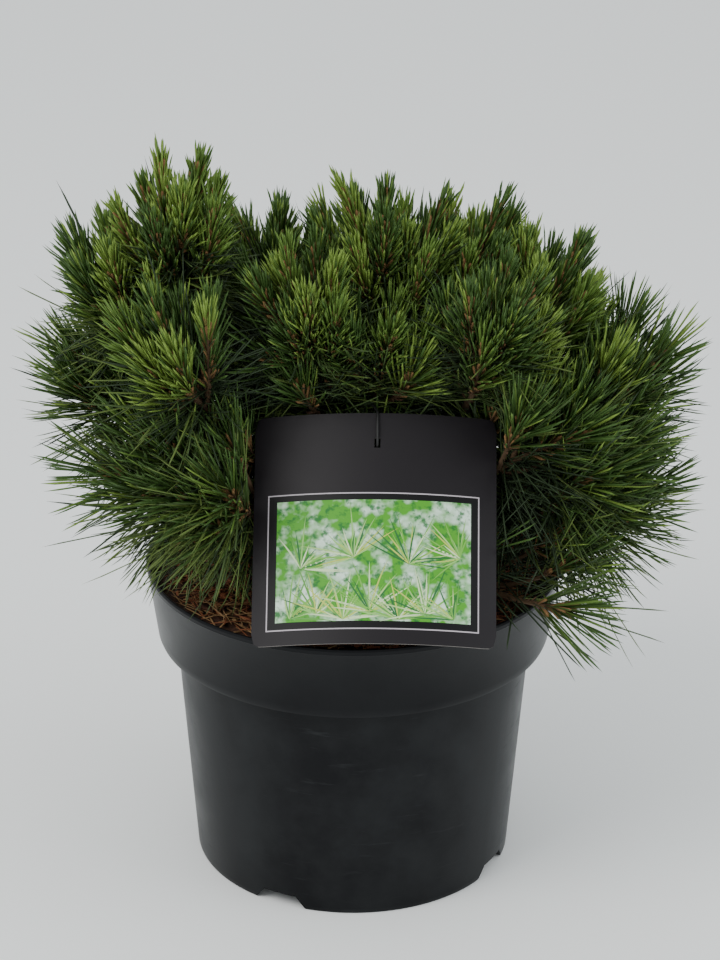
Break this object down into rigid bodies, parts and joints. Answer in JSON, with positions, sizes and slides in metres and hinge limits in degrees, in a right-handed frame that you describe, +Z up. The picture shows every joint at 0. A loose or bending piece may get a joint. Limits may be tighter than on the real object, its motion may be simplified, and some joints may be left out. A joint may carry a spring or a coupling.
{
  "type": "mugo pine in nursery pot",
  "caption": "Low bushy mountain pine with upright candle shoots and long dark needles, in a round black plastic nursery pot with a blank hang card",
  "frame": {"origin": "middle of the pot's flat underside", "axes": "+Z up along the pot's axis; the plant's front, with the card, looks along -Y"},
  "size_m": [0.3277, 0.2638, 0.3921],
  "materials": {
    "pot_plastic": "satin black polypropylene",
    "bark_mix": "loose brown bark and fibre",
    "bark": "rough grey-brown bark",
    "needles": "dark to bright green pine needles",
    "card": "thin black card, blank",
    "tie": "thin black loop"
  },
  "bodies": {
    "root": {"card_tie": "tie", "foliage_back": "needles", "foliage_back_left": "needles", "foliage_back_left_high": "needles", "foliage_back_low": "needles", "foliage_back_right": "needles", "foliage_back_right_low": "needles", "foliage_back_top": "needles", "foliage_centre_front": "needles", "foliage_centre_left": "needles", "foliage_centre_left_inner": "needles", "foliage_centre_right": "needles", "foliage_centre_top": "needles", "foliage_front_left_low": "needles", "foliage_front_low": "needles", "foliage_front_right": "needles", "foliage_front_right_low": "needles", "foliage_left_front": "needles", "foliage_left_leader": "needles", "foliage_left_low": "needles", "foliage_left_low_outer": "needles", "foliage_left_outer_high": "needles", "foliage_right_front_high": "needles", "foliage_right_high": "needles", "foliage_right_inner": "needles", "foliage_right_low": "needles", "foliage_right_outer_high": "needles", "foliage_right_side": "needles", "growing_medium": "bark_mix", "hang_card": "card", "main_bough_back": "bark", "main_bough_back_low": "bark", "main_bough_back_right_low": "bark", "main_bough_centre_top": "bark", "main_bough_front_low": "bark", "main_bough_left_leader": "bark", "main_bough_left_low_outer": "bark", "main_bough_right_outer_high": "bark", "main_bough_right_side": "bark", "pot": "pot_plastic", "side_bough_back_left": "bark", "side_bough_back_left_high": "bark", "side_bough_back_right": "bark", "side_bough_back_top": "bark", "side_bough_centre_front": "bark", "side_bough_centre_left": "bark", "side_bough_centre_left_inner": "bark", "side_bough_centre_right": "bark", "side_bough_front_left_low": "bark", "side_bough_front_right": "bark", "side_bough_front_right_low": "bark", "side_bough_left_front": "bark", "side_bough_left_low": "bark", "side_bough_left_outer_high": "bark", "side_bough_right_front_high": "bark", "side_bough_right_high": "bark", "side_bough_right_inner": "bark", "side_bough_right_low": "bark", "trunk": "bark"}
  },
  "joints": []
}
